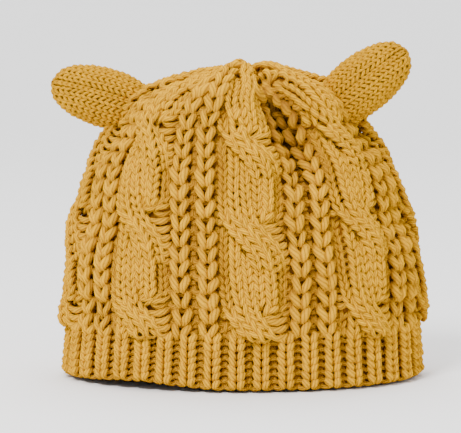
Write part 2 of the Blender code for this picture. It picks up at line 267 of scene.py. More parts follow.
class Value:
    """One output of a node, with the arithmetic that the yarn's trees use."""

    def __init__(self, graph, socket):
        self.graph = graph
        self.socket = socket

    def maths(self, operation, *others):
        """A Math node on this value and others."""
        return self.graph.node("ShaderNodeMath", {"operation": operation}, dict(enumerate((self, *others))))

    def vector(self, operation, *others, out=0):
        """A Vector Math node on this value and others."""
        inputs = dict(enumerate((self, *others)))
        return self.graph.node("ShaderNodeVectorMath", {"operation": operation}, inputs, out)

    def times(self, number):
        """This vector or colour, scaled by a number."""
        return self.graph.node("ShaderNodeVectorMath", {"operation": "SCALE"}, {0: self, "Scale": number})

    def clamped(self, low=0.0):
        """This value, kept between a low one and 1."""
        return self.maths("MINIMUM", 1.0).maths("MAXIMUM", low)

    def beside(self, out):
        """Another output of the node that gives this value."""
        return Value(self.graph, self.socket.node.outputs[out])

    def __add__(self, other):
        return self.maths("ADD", other)

    def __sub__(self, other):
        return self.maths("SUBTRACT", other)

    def __mul__(self, other):
        return self.maths("MULTIPLY", other)

    def __truediv__(self, other):
        return self.maths("DIVIDE", other)

    def __rsub__(self, other):
        return self.graph.node("ShaderNodeMath", {"operation": "SUBTRACT"}, {0: other, 1: self})

    __radd__ = __add__
    __rmul__ = __mul__


class Graph:
    """A node tree, with one way to add a node to it."""

    def __init__(self, tree):
        self.tree = tree

    def node(self, kind, settings=None, inputs=None, out=0):
        """A node of a kind: its settings first, then the values or links of its sockets."""
        new = self.tree.nodes.new(kind)
        for name, value in (settings or {}).items():
            setattr(new, name, value)
        for key, value in (inputs or {}).items():
            if isinstance(value, Value):
                self.tree.links.new(value.socket, new.inputs[key])
            else:
                new.inputs[key].default_value = value
        return Value(self, new.outputs[out]) if len(new.outputs) else new


FOOT_FORWARD = 0.45  # how far a loop's foot stands forward of its head, as a share of its depth


def yarn_tree():
    """Nodes that bend guide lines into knitted loops and sweep the yarn along them. Each guide
    point knows its place in its loop (phase), the ways across, along and out, and how far the
    loop reaches each way."""
    tree = bpy.data.node_groups.new("yarn_loops", "GeometryNodeTree")
    sockets = tree.interface.new_socket
    sockets(name="Guides", in_out="INPUT", socket_type="NodeSocketGeometry")
    sides = sockets(name="Sides", in_out="INPUT", socket_type="NodeSocketInt")
    thickness = sockets(name="Thickness", in_out="INPUT", socket_type="NodeSocketFloat")
    wool = sockets(name="Wool", in_out="INPUT", socket_type="NodeSocketMaterial")
    sockets(name="Yarn", in_out="OUTPUT", socket_type="NodeSocketGeometry")
    graph = Graph(tree)
    guides = graph.node("NodeGroupInput")
    side_count, thick, material = (guides.beside(name) for name in ("Sides", "Thickness", "Wool"))

    def read(name, kind="FLOAT"):
        return graph.node("GeometryNodeInputNamedAttribute", {"data_type": kind}, {"Name": name})

    def store(geometry, name, value, kind="FLOAT"):
        settings = {"data_type": kind, "domain": "POINT"}
        inputs = {"Geometry": geometry, "Name": name, "Value": value}
        return graph.node("GeometryNodeStoreNamedAttribute", settings, inputs)

    phase = read("phase")
    twice = phase * 2.0
    sideways = read("swing") * twice.maths("SINE") - read("spread") * phase.maths("SINE")
    upwards = read("reach") * phase.maths("COSINE") * -1.0
    outwards = read("depth") * (phase.maths("COSINE") * FOOT_FORWARD - twice.maths("COSINE"))
    offset = read("across", "FLOAT_VECTOR").times(sideways)
    offset = offset.vector("ADD", read("along", "FLOAT_VECTOR").times(upwards))
    offset = offset.vector("ADD", read("out", "FLOAT_VECTOR").times(outwards))
    bent = graph.node("GeometryNodeSetPosition", None, {"Geometry": guides, "Offset": offset})
    curve = graph.node("GeometryNodeMeshToCurve", None, {"Mesh": bent})
    length = graph.node("GeometryNodeSplineParameter", out="Length")
    curve = store(curve, "yarn_length", length)
    curve = store(curve, "core", graph.node("GeometryNodeInputPosition"), "FLOAT_VECTOR")
    circle = {"Resolution": side_count, "Radius": thick / 2.0}
    profile = graph.node("GeometryNodeCurvePrimitiveCircle", {"mode": "RADIUS"}, circle)
    way_out = graph.node("GeometryNodeInputPosition").vector("NORMALIZE")
    profile = store(profile, "ply_way", way_out, "FLOAT_VECTOR")
    sweep = {"Curve": curve, "Profile Curve": profile, "Scale": read("girth"), "Fill Caps": True}
    swept = graph.node("GeometryNodeCurveToMesh", None, sweep)
    # how far each point of the yarn faces out of the fabric, which the wool turns into painted shade on the
    # yarn's inner side
    from_core = graph.node("GeometryNodeInputPosition").vector("SUBTRACT", read("core", "FLOAT_VECTOR"))
    outer = from_core.vector("DOT_PRODUCT", read("out", "FLOAT_VECTOR"), out=1)
    swept = store(swept, "facing", outer / (read("girth") * thick / 2.0))
    smooth = graph.node("GeometryNodeSetShadeSmooth", None, {"Geometry": swept})
    real = graph.node("GeometryNodeRealizeInstances", None, {"Geometry": smooth})
    done = graph.node("GeometryNodeSetMaterial", None, {"Geometry": real, "Material": material})
    graph.node("NodeGroupOutput", None, {"Yarn": done})
    return tree, sides.identifier, thickness.identifier, wool.identifier


YARN_TREE, SIDES_INPUT, THICKNESS_INPUT, WOOL_INPUT = yarn_tree()
# what a guide point knows that the finished yarn doesn't keep
GUIDE_ONLY = ("phase", "across", "along", "out", "swing", "spread", "reach", "depth", "girth", "core")


def spin_yarn(name, lines, thickness, sides, wool):
    """Guide lines made into one mesh of swept yarn. A line is a dictionary of arrays, one value
    for each of its points, and it joins its own start."""
    guide = bpy.data.meshes.new(name + "_guide")
    edges = []
    start = 0
    for line in lines:
        count = len(line["place"])
        edges += [(start + i, start + (i + 1) % count) for i in range(count)]
        start += count
    guide.from_pydata(np.concatenate([line["place"] for line in lines]).tolist(), edges, [])
    for key in ("across", "along", "out"):
        values = guide.attributes.new(key, "FLOAT_VECTOR", "POINT")
        values.data.foreach_set("vector", np.concatenate([line[key] for line in lines]).ravel())
    for key in ("phase", "swing", "spread", "reach", "depth", "girth", "shade", "height"):
        values = guide.attributes.new(key, "FLOAT", "POINT")
        values.data.foreach_set("value", np.concatenate([line[key] for line in lines]))
    source = bpy.data.objects.new(name + "_guide", guide)
    bpy.context.scene.collection.objects.link(source)
    sweep = source.modifiers.new("yarn", "NODES")
    sweep.node_group = YARN_TREE
    sweep[SIDES_INPUT] = sides
    sweep[THICKNESS_INPUT] = thickness
    sweep[WOOL_INPUT] = wool
    bpy.context.view_layer.update()
    view = bpy.context.evaluated_depsgraph_get()
    mesh = bpy.data.meshes.new_from_object(source.evaluated_get(view))
    mesh.name = name
    for key in GUIDE_ONLY:
        if key in mesh.attributes:
            mesh.attributes.remove(mesh.attributes[key])
    bpy.data.objects.remove(source)
    piece = bpy.data.objects.new(name, mesh)
    bpy.context.scene.collection.objects.link(piece)
    return piece


LOOP_POINTS = 12
BLEND_FROM = 0.4  # share of the way from a stitch's middle where it begins to pass into the next
STRETCH_FROM = 0.5  # and where it begins to be drawn over to it
BAR_FULL = 0.35  # a gap beyond the stitches' own width, as a share of it, that the yarn spans as a bar
BAR_RISE = 1.2 * MM
BAR_GIRTH = 1.1
LIFT_SEEN = 0.6 * MM  # the highest lift, and the shallowest fold, that change the painted shade on the wool
SUNK_SEEN = 3.0 * MM
LIFT_SHADE_WEIGHT = 0.75
SUNK_SHADE_WEIGHT = 0.4
chance = np.random.default_rng(11)


def knit_course(form, run, stitches):
    """Guide points of one course. Stitches is a dictionary of arrays, one value for each stitch in
    order around: centre and width in turns, lift, lean, and the loop's swing, spread, reach,
    depth, waist and belly. Belly is the yarn's girth in a leg, and waist its girth between."""
    share = np.arange(LOOP_POINTS) / LOOP_POINTS
    away = share - 0.5
    from_middle = np.abs(away) * 2
    centre = stitches["centre"]
    width = stitches["width"]
    count = len(centre)
    order = np.arange(count)
    beside = np.where(away[None, :] < 0, (order[:, None] - 1) % count, (order[:, None] + 1) % count)
    mix = smooth_step((from_middle - BLEND_FROM) / (1 - BLEND_FROM))[None, :] / 2

    def blend(values):
        return values[:, None] * (1 - mix) + values[beside] * mix

    gap = (centre[beside] - centre[:, None] + 0.5) % 1.0 - 0.5
    halves = (width[:, None] + width[beside]) / 2
    stretch = (np.abs(gap) * np.sign(gap * away[None, :]) - halves) / 2 * np.sign(away)[None, :]
    ease = smooth_step((from_middle - STRETCH_FROM) / (1 - STRETCH_FROM))[None, :]
    turn = centre[:, None] + width[:, None] * away[None, :] + stretch * ease
    runs = run + blend(stitches["drift"])
    place, across, along, out, sunk = form.at(runs, turn)
    stretched = smooth_step((np.abs(gap) - halves) / halves / BAR_FULL) * ease
    lift = blend(stitches["lift"]) + stretched * BAR_RISE
    lean = blend(stitches["lean"])[..., None]
    phase = np.broadcast_to(share * 2 * math.pi, (count, LOOP_POINTS))
    leg = np.sin(phase) ** 2
    fuller = 1 - blend(stitches["teardrop"]) * np.cos(phase)
    girth = blend(stitches["waist"]) * (1 - leg) + blend(stitches["belly"]) * leg * fuller
    line = {
        "place": place + out * lift[..., None],
        "across": unit(across - along * lean),
        "along": unit(along + across * lean),
        "out": out,
        "phase": phase,
        "girth": girth + stretched * BAR_GIRTH,
    }
    for key in ("swing", "spread", "reach", "depth", "shade"):
        line[key] = blend(stitches[key])
    bowed = FOOT_FORWARD * np.cos(phase) - np.cos(2 * phase)
    # the yarn's depth in the fabric, which the wool's colour turns into painted shade on deep yarn and in
    # the crown's folds
    line["height"] = np.minimum(lift, LIFT_SEEN) * LIFT_SHADE_WEIGHT + line["depth"] * bowed
    line["height"] -= SUNK_SHADE_WEIGHT * np.maximum(sunk - SUNK_SEEN, 0.0)
    for key, values in line.items():
        line[key] = values.reshape(-1, 3) if values.ndim == 3 else values.ravel()
    return line


PLIES = 3
PLY_PITCH = 26.0 * MM
PLY_ROUNDNESS = 0.6
FIBRES_AROUND = 1.5
FIBRES_ALONG = 5400.0
FIBRES_APART = 20.0  # from one loop's fibres to the next loop's
PATCHES = 55.0
DEEPEST = 2.6 * MM  # below the fabric's surface, where the painted shade on the yarn is darkest
HIGHEST = 1.3 * MM
SIDE_SHADE_GAIN = 0.85
SIDE_SHADE_BASE = 0.3
PLY_SHADE_TONE = 0.55
FIBRE_TONE = 0.45
LOOP_TONE = 0.2
PATCH_TONE = 0.2
TONE_DROP = 0.12
DEEP_SHADE_TONE = 0.22  # share of the tone left by the painted shade where the yarn is deepest
INNER_SHADE_TONE = 0.4  # and by the painted shade on the yarn's own inner side
FOLD_SHADE = 5.5 * MM  # below the deepest yarn, where the painted shade in a fold would be black
FOLD_DARKEST = 0.3
PLY_RELIEF = 0.8
FIBRE_RELIEF = 0.5


def wool_material(name, light, deep):
    """Soft plied wool: three twisted plies, fine fibres along them, and colour that varies a
    little from loop to loop. Painted shade darkens the grooves between the plies, the deeper yarn,
    the yarn's inner side and the crown's folds."""
    material = bpy.data.materials.new(name)
    material.use_nodes = True
    tree = material.node_tree
    shader = tree.nodes["Principled BSDF"]
    graph = Graph(tree)
    way = graph.node("ShaderNodeAttribute", {"attribute_name": "ply_way"}, out="Vector")
    length = graph.node("ShaderNodeAttribute", {"attribute_name": "yarn_length"}, out="Fac")
    shade = graph.node("ShaderNodeAttribute", {"attribute_name": "shade"}, out="Fac")
    height = graph.node("ShaderNodeAttribute", {"attribute_name": "height"}, out="Fac")
    facing = graph.node("ShaderNodeAttribute", {"attribute_name": "facing"}, out="Fac")
    sideways = graph.node("ShaderNodeSeparateXYZ", None, {0: way}, out="X")
    angle = sideways.beside("Y").maths("ARCTAN2", sideways)
    twisted = (angle * PLIES + length * (2 * PLIES * math.pi / PLY_PITCH)).maths("SINE").maths("ABSOLUTE")
    round_ply = twisted.maths("POWER", PLY_ROUNDNESS)
    spun = {0: angle * FIBRES_AROUND, 1: length * FIBRES_ALONG, 2: shade * FIBRES_APART}
    spun = graph.node("ShaderNodeCombineXYZ", None, spun)
    fine = {"Vector": spun, "Scale": 1.0, "Detail": 3.0, "Roughness": 0.7}
    fibres = graph.node("ShaderNodeTexNoise", None, fine)
    spot = graph.node("ShaderNodeTexCoord", out="Object")
    patches = graph.node("ShaderNodeTexNoise", None, {"Vector": spot, "Scale": PATCHES, "Detail": 2.0})
    # painted shade on deep yarn: the lower the yarn lies in the fabric, the darker it is coloured
    raised = ((height + DEEPEST) / (DEEPEST + HIGHEST)).clamped()
    # painted shade on the side of each strand that faces into the fabric
    outer = (facing * SIDE_SHADE_GAIN + SIDE_SHADE_BASE).clamped()
    # the plies' pattern colours the grooves between them darker as painted shade; fibres, loops and patches
    # are the wool's own random tone
    tone = round_ply * PLY_SHADE_TONE + fibres * FIBRE_TONE + shade * LOOP_TONE + patches * PATCH_TONE - TONE_DROP
    tone = tone * (raised * (1 - DEEP_SHADE_TONE) + DEEP_SHADE_TONE)
    tone = tone * (outer * (1 - INNER_SHADE_TONE) + INNER_SHADE_TONE)
    blended = {0: tone, 6: (*deep, 1.0), 7: (*light, 1.0)}
    colour = graph.node("ShaderNodeMix", {"data_type": "RGBA"}, blended, out=2)
    # painted shade in the crown's folds: the colour darkens below the deepest yarn, down to the darkest
    # share
    colour = colour.times(((height + DEEPEST) / FOLD_SHADE + 1.0).clamped(FOLD_DARKEST))
    tree.links.new(colour.socket, shader.inputs["Base Color"])
    relief = round_ply * PLY_RELIEF + fibres * FIBRE_RELIEF
    bump = graph.node("ShaderNodeBump", None, {"Strength": 0.9, "Distance": 0.0006, "Height": relief})
    tree.links.new(bump.socket, shader.inputs["Normal"])
    shader.inputs["Roughness"].default_value = 0.92
    shader.inputs["Specular IOR Level"].default_value = 0.0
    shader.inputs["Sheen Weight"].default_value = 0.25
    shader.inputs["Sheen Roughness"].default_value = 0.45
    shader.inputs["Sheen Tint"].default_value = (1.0, 0.52, 0.01, 1.0)
    return material


# the deep colour is the end that the random tone and the painted shade darken the yarn towards
mustard = wool_material("mustard_wool", light=(0.88, 0.45, 0.0), deep=(0.25, 0.094, 0.014))
# the second wool is dark with painted shade: it colours the sheets behind the loops, which stand for the
# fabric's back where the gaps would lie in shadow
painted_shade_wool = wool_material("painted_shade_wool", light=(0.36, 0.145, 0.020), deep=(0.20, 0.075, 0.010))

YARN = 2.0 * MM
BRIM_RIBS = 40
BRIM_COURSES = 7
BRIM_RIB_SHARE = 0.65  # of the pitch from rib to rib, for the knit column
BRIM_FIRST_RUN = 4.2 * MM
BRIM_LAST_RUN = brim_run - 1.2 * MM
BRIM_LOOPS = {
    # for a knit and for a purl stitch: in mm, and waist and belly as shares of the yarn
    "lift": (0.3, -3.1),
    "swing": (1.75, 0.4),
    "reach": (3.2, 1.8),
    "depth": (1.25, -1.0),
    "waist": (1.05, 1.2),
    "belly": (1.95, 1.35),
}
BRIM_UNEVEN = {"drift": 0.15 * MM, "lift": 0.12 * MM, "lean": 0.09, "belly": 0.06}
CAST_ON_REACH = 0.85
TEARDROP = 0.12  # how much fuller a loop's legs are near its head


def brim_courses():
    """The brim's courses from the cast-on row up, knit and purl in turn."""
    pitch = 1.0 / BRIM_RIBS
    knit_width = BRIM_RIB_SHARE * pitch
    count = BRIM_RIBS * 2
    order = np.arange(count)
    knit = order % 2 == 0
    within = np.where(knit, BRIM_RIB_SHARE, 1 + BRIM_RIB_SHARE) / 2
    loop = {name: np.where(knit, *pair) for name, pair in BRIM_LOOPS.items()}
    step = (BRIM_LAST_RUN - BRIM_FIRST_RUN) / (BRIM_COURSES - 1)
    lines = []
    for course in range(BRIM_COURSES):
        stitches = {
            "centre": order // 2 * pitch + within * pitch + PATTERN_TURN,
            "width": np.where(knit, knit_width, pitch - knit_width),
            "drift": chance.normal(0, BRIM_UNEVEN["drift"], count),
            "lift": loop["lift"] * MM + chance.normal(0, BRIM_UNEVEN["lift"], count),
            "lean": chance.normal(0, BRIM_UNEVEN["lean"], count),
            "swing": loop["swing"] * MM,
            "spread": np.zeros(count),
            "reach": loop["reach"] * MM * (CAST_ON_REACH if course == 0 else 1.0),
            "depth": loop["depth"] * MM,
            "waist": loop["waist"],
            "belly": loop["belly"] * chance.normal(1, BRIM_UNEVEN["belly"], count),
            "teardrop": np.full(count, TEARDROP),
            "shade": chance.uniform(0, 1, count),
        }
        lines.append(knit_course(hat, BRIM_FIRST_RUN + course * step, stitches))
    return lines


def backing(form, runs, lift, columns):
    """The sheet behind the loops, and its rings of corners. It stands for the fabric's back in the gaps
    between them, and its dark wool is painted shade there. Lift says how far it stands out from the
    form, for a run and an array of turns."""
    mesh = bmesh.new()
    turns = np.arange(columns) / columns
    rings = []
    for run in runs:
        place, _, _, out, _ = form.at(np.full(columns, run), turns)
        place = place + out * lift(run, turns)[:, None]
        rings.append([mesh.verts.new(corner) for corner in place])
    for low, high in zip(rings, rings[1:]):
        for i in range(columns):
            j = (i + 1) % columns
            mesh.faces.new((low[i], low[j], high[j], high[i]))
    return mesh, rings


def finish_sheet(name, mesh, wall=0.0):
    """A sheet of faces made into a piece of the dark inner wool, whose darkness is painted shade, with a
    wall's thickness on its inner side.
    """
    data = bpy.data.meshes.new(name)
    mesh.to_mesh(data)
    mesh.free()
    data.shade_smooth()
    data.materials.append(painted_shade_wool)
    piece = bpy.data.objects.new(name, data)
    bpy.context.scene.collection.objects.link(piece)
    if wall:
        thick = piece.modifiers.new("wall", "SOLIDIFY")
        thick.thickness = wall
        thick.offset = -1.0
    return piece


brim_yarn = spin_yarn("brim_yarn", brim_courses(), YARN, sides=8, wool=mustard)

WALL = 0.6 * MM
WALL_FIRST_RUN = 2.2 * MM
BEHIND_PURL = -3.1  # mm
BEHIND_RIB = 2.1  # mm further out


def brim_lift(run, turns):
    """How far the wall behind the brim's ribs stands out."""
    place = ((turns - PATTERN_TURN) * BRIM_RIBS) % 1.0
    under_rib = np.clip(np.sin(math.pi * place / BRIM_RIB_SHARE), 0, 1) * (place < BRIM_RIB_SHARE)
    return (BEHIND_PURL + BEHIND_RIB * under_rib) * MM


# the wall behind the brim's loops, dark with painted shade in the gaps
sheet, _ = backing(hat, np.linspace(WALL_FIRST_RUN, brim_run, 6), brim_lift, columns=240)
brim_backing = finish_sheet("brim_backing", sheet, WALL)
for piece in (brim_yarn, brim_backing):
    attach(piece, "root")
    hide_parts("brim")

# The crown
# Eight cables of six knit columns, with a pair of plump fisherman's ribs in each gap, knitted
# on from the brim in the round and drawn together at the top with the yarn's end.

COURSE_STEP = 3.75 * MM
CABLE_PITCH = 12 * COURSE_STEP
# each cable's first crossing in mm above the brim, from the front cable on
CROSSINGS = (10.0, 14.5, 12.0, 13.0, 9.5, 13.5, 11.5, 16.0)
LAST_CROSSING = 2  # crossings after the first, above which the strands run on straight
FRONT_LATE = 6.5 * MM  # below the crossing, where the strand in front passes the cable's middle
FRONT_REACH = 14.0 * MM
BACK_REACH = 4.5 * MM
CROSS_SLOPE = 1.5
CABLE_HIGH = 2.1  # mm, as the next: a cable's middle, its fall to the edges and each strand's roundness
CABLE_FALL = 3.6
STRAND_ROUND = 1.3
CABLE_EDGE = 0.83
FRONT_RAISED = 3.7 * MM
BACK_SUNK = 3.6 * MM
COVER_REACH = 0.62  # share of half the cable that the strand in front covers
COVER_FADE = 0.3
STRAND = 3
KINDS = ("cable",) * (2 * STRAND) + ("side", "rib", "middle", "rib", "side")
WALE_WIDTHS = (
    # share up the crown, then the widths of a cable, side, middle and rib column in mm, before they
    # are fitted into the round
    (0.00, 5.40, 1.30, 4.20, 9.20),
    (0.55, 5.40, 1.30, 4.20, 9.20),
    (0.63, 5.40, 1.00, 2.60, 8.30),
    (0.72, 5.40, 0.60, 1.20, 7.40),
    (0.82, 5.20, 0.60, 0.60, 5.80),
    (0.92, 4.80, 0.50, 0.50, 4.60),
    (1.00, 4.60, 0.40, 0.40, 3.60),
)
# shares up the crown where the columns are knitted together with their neighbours
WALE_ENDS = (0.71, 0.85, 2.0, 0.975, 0.78, 0.63, 0.80, 0.90, 0.76, 0.96, 0.82)
WALE_ENDING = 0.05  # share up the crown over which a column narrows to its end
KEPT_PART = 0.15  # of its width, under which it is gone
LOOPS = {
    # swing, spread, reach and depth in mm, waist and belly as shares of the yarn, and teardrop
    "cable": (1.42, 0.05, 3.35, 1.4, 0.8, 1.44, TEARDROP),
    "rib": (2.5, -0.25, 5.6, 1.7, 1.5, 2.25, TEARDROP),
    "tuck": (0.4, 0.0, -1.2, 0.2, 1.3, 1.3, 0.0),
    "purl": (0.3, 0.0, 1.6, -0.6, 1.2, 1.25, 0.0),
}
LIFTS = {"rib": -0.5 * MM, "tuck": -1.9 * MM, "purl": -3.3 * MM}
FULL_WIDTHS = {"cable": 5.4 * MM, "rib": 9.2 * MM, "tuck": 9.2 * MM, "purl": 2.0 * MM}
FULLEST = 1.25  # how far beyond its full width a loop grows with its column


def cable_path(wale, widths, above, cable):
    """Where a cable's column lies at a height above the brim: across and lean, and its lift."""
    risen = above - CROSSINGS[cable] * MM
    from_crossing = risen - min(round(risen / CABLE_PITCH), LAST_CROSSING) * CABLE_PITCH
    half = sum(widths[: 2 * STRAND]) / 2
    left = wale < STRAND
    strand = widths[:STRAND] if left else widths[STRAND : 2 * STRAND]
    within = sum(strand[: wale % STRAND]) + strand[wale % STRAND] / 2 - sum(strand) / 2
    gone = CROSS_SLOPE * (from_crossing + FRONT_LATE) / FRONT_REACH
    front_centre = -0.5 * half * math.tanh(gone)
    front = left == (from_crossing > 0)
    if front:
        across = front_centre + within
        lean = -CROSS_SLOPE / 2 * half / FRONT_REACH / math.cosh(gone) ** 2
    else:
        gone = CROSS_SLOPE * from_crossing / BACK_REACH
        across = 0.5 * half * math.tanh(gone) + within
        lean = CROSS_SLOPE / 2 * half / BACK_REACH / math.cosh(gone) ** 2
    rounded = STRAND_ROUND * (within / (sum(strand) / STRAND)) ** 2
    lift = (CABLE_HIGH - CABLE_FALL * (abs(across) / half / CABLE_EDGE) ** 3 - rounded) * MM
    if front:
        lift += FRONT_RAISED * math.exp(-(((from_crossing + FRONT_LATE) / FRONT_REACH) ** 2))
    else:
        covered = (COVER_REACH - abs(across - front_centre) / half) / COVER_FADE
        lift -= BACK_SUNK * float(smooth_step(covered))
    return across, lean, lift


WANDERS = chance.uniform(0, 2 * math.pi, (REPEATS, len(KINDS), 4))
WANDER_ASIDE = ((0.4, 15.0), (0.25, 6.0))  # size and length of each wave, in mm
WANDER_ALONG = ((0.6, 20.0), (0.3, 8.0))
FLAT_FROM = 0.65
FLAT_OVER = 0.25
FLAT_LOST = 0.5  # share of the relief that is lost there


def wander(repeat, wale, run):
    """How far a column strays to a side and along itself, as hand-knitted columns do."""

    def waves(sizes, starts):
        pairs = zip(sizes, starts)
        return sum(size * math.sin(run / (length * MM) + start) for (size, length), start in pairs) * MM

    starts = WANDERS[repeat, wale]
    return waves(WANDER_ASIDE, starts[:2]), waves(WANDER_ALONG, starts[2:])


def flattened(run):
    """0 on most of the crown and 1 near the top, where the fabric is drawn flat."""
    return smooth_step((share_up_crown(run) - FLAT_FROM) / FLAT_OVER)


def wale_widths(run):
    """The widths of one repeat's columns at a run. A column narrows to nothing where it ends."""
    share = share_up_crown(run)
    table = np.array(WALE_WIDTHS)
    cable, side, middle, rib = (np.interp(share, table[:, 0], table[:, i]) for i in range(1, 5))
    sizes = {"cable": cable, "side": side, "middle": middle, "rib": rib}
    left = [float(np.clip((end - share) / WALE_ENDING, 0.0, 1.0)) for end in WALE_ENDS]
    widths = np.array([sizes[kind] * part for kind, part in zip(KINDS, left)])
    return widths * hat.around(run) / REPEATS / widths.sum(), [part > KEPT_PART for part in left]


CROWN_UNEVEN = {"drift": 0.18 * MM, "lift": 0.18 * MM, "lean": 0.07, "belly": 0.06}
RIB_SWING = 1.8 * MM  # loops that swing further than this are ribs' loops, which lie less evenly
RIB_SLACK = 1.8
STITCH_VALUES = ("centre", "width", "lean", "lift", "swing", "spread", "reach", "depth")
STITCH_VALUES += ("waist", "belly", "teardrop", "drift")


def crown_course(number, run):
    """One course around the crown. The ribs are worked on every second course."""
    widths, kept = wale_widths(run)
    around = hat.around(run)
    rows = []
    for repeat in range(REPEATS):
        for wale, kind in enumerate(KINDS):
            if not kept[wale]:
                continue
            if kind == "cable":
                middle, lean, lift = cable_path(wale, widths, run - brim_run, repeat)
            else:
                kind = ("rib", "tuck")[number % 2] if kind == "rib" else "purl"
                middle = sum(widths[:wale]) + widths[wale] / 2 - sum(widths[: 2 * STRAND]) / 2
                lean = 0.0
                lift = LIFTS[kind]
            aside, ahead = wander(repeat, wale, run)
            lift = lift * (1.0 - FLAT_LOST * flattened(run))
            turn = (middle + aside) / around + repeat / REPEATS + PATTERN_TURN
            small = min(FULLEST, widths[wale] * hat.stretch(run, turn) / FULL_WIDTHS[kind])
            tight = small**0.5
            swing, spread, reach, depth, waist, belly, teardrop = LOOPS[kind]
            loop = (swing * tight * MM, spread * small * MM, reach * math.hypot(1.0, lean) * MM, depth * MM)
            yarn = (waist * tight, belly * tight, teardrop)
            rows.append((turn, widths[wale] / around, lean, lift, *loop, *yarn, ahead))
    count = len(rows)
    stitches = dict(zip(STITCH_VALUES, np.array(rows).T))
    slack = np.where(stitches["swing"] > RIB_SWING, RIB_SLACK, 1.0)
    stitches["drift"] = stitches["drift"] + chance.normal(0, CROWN_UNEVEN["drift"], count) * slack
    stitches["lift"] = stitches["lift"] + chance.normal(0, CROWN_UNEVEN["lift"], count)
    stitches["lean"] = stitches["lean"] + chance.normal(0, CROWN_UNEVEN["lean"], count) * slack
    stitches["belly"] = stitches["belly"] * (1 + chance.normal(0, CROWN_UNEVEN["belly"], count) * slack)
    stitches["shade"] = chance.uniform(0, 1, count)
    return knit_course(hat, run, stitches)


CROWN_FIRST_RUN = brim_run + 2.2 * MM
CROWN_LAST_RUN = hat.length - 1.5 * MM
crown_runs = np.arange(CROWN_FIRST_RUN, CROWN_LAST_RUN, COURSE_STEP)
crown_lines = [crown_course(number, run) for number, run in enumerate(crown_runs)]
CROWN_BANDS = (("crown_lower", 0, 12), ("crown_middle", 12, 25), ("crown_top", 25, len(crown_lines)))
crown_pieces = [
    spin_yarn(name, crown_lines[first:last], YARN, sides=7, wool=mustard)
    for name, first, last in CROWN_BANDS
]

WALL_PLACES = (0.0, 0.22, 0.29, 0.35, 0.5)  # in repeats from a cable's middle
WALL_DEPTHS = (-1.4, -1.6, -2.0, -3.6, -3.6)  # mm
WALL_RAISED = 1.6
WALL_CABLE = 0.26  # half a cable's width, in repeats
WALL_FLAT = -0.7


def crown_lift(run, turns):
    """How far the wall behind the crown's cables and ribs stands out."""
    place = ((turns - PATTERN_TURN) * REPEATS + 0.5) % 1.0 - 0.5
    depth = np.interp(np.abs(place), WALL_PLACES, WALL_DEPTHS)
    cable = np.floor((turns - PATTERN_TURN) * REPEATS + 0.5).astype(int) % REPEATS
    from_crossing = run - brim_run - np.array(CROSSINGS)[cable] * MM + FRONT_LATE + CABLE_PITCH / 2
    from_crossing = from_crossing % CABLE_PITCH - CABLE_PITCH / 2
    under_cable = np.maximum(1 - (place / WALL_CABLE) ** 2, 0)
    raised = WALL_RAISED * bell(from_crossing / FRONT_REACH) * under_cable
    flat = flattened(run)
    return ((depth + raised) * (1 - flat) + WALL_FLAT * flat) * MM


# the wall behind the crown's loops, dark with painted shade in the gaps
sheet, rings = backing(hat, np.linspace(brim_run, hat.length, 46), crown_lift, columns=176)
middle = sheet.verts.new(sum((v.co for v in rings[-1]), Vector()) / len(rings[-1]))
for i, vertex in enumerate(rings[-1]):
    sheet.faces.new((vertex, rings[-1][(i + 1) % len(rings[-1])], middle))
crown_pieces.append(finish_sheet("crown_backing", sheet, WALL))
for piece in crown_pieces:
    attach(piece, "root")
    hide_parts("crown")

# The ears
# Two almonds knitted in plain knit columns that run together at the tip, stuffed softly, sewn
# shut along the front and sewn on through their feet.

EAR_LENGTH = 46.0 * MM
EAR_WIDTH = 29.5 * MM
EAR_THICKNESS = 24.0 * MM
EAR_ROOT = 9.0 * MM
EAR_SECTIONS = (
    # shares of the ear's length, half width and half thickness
    (0.00, 0.60, 0.52),
    (0.12, 0.72, 0.68),
    (0.28, 0.92, 0.90),
    (0.45, 1.00, 1.00),
    (0.62, 0.98, 0.96),
    (0.78, 0.86, 0.84),
    (0.90, 0.66, 0.62),
    (0.97, 0.40, 0.37),
    (1.00, 0.12, 0.11),
)
EARS = (
    # name, the foot's place as shares of the hat's half width, half depth and height, then lean,
    # forward tilt and twist in degrees
    ("ear_left", -0.606, 0.05, 0.861, -73.5, 2.0, 14.0),
    ("ear_right", 0.510, -0.16, 0.871, 52.0, 4.0, -12.0),
)
EAR_WALES = 24
EAR_FEWEST = 5
EAR_STITCH = 2.9 * MM  # the narrowest that a stitch gets before one is dropped
EAR_FULL_STITCH = 3.6 * MM
EAR_STEP = 3.0 * MM
EAR_FIRST_RUN = EAR_ROOT - 4 * MM
EAR_LAST_GAP = 0.6 * MM
EAR_SKIN = 1.4 * MM
EAR_LEAST = 0.4 * MM
EAR_SEAM = 0.75  # the turn that faces the front
SEAM_REACH = 1.6 * MM
SEAM_DEPTH = 1.0 * MM
SEAM_LIFT = -0.2 * MM
SEAM_LEAN = 0.16
EAR_FORM_ROWS = 160
EAR_ROWS = 200
EAR_POINTS = 240


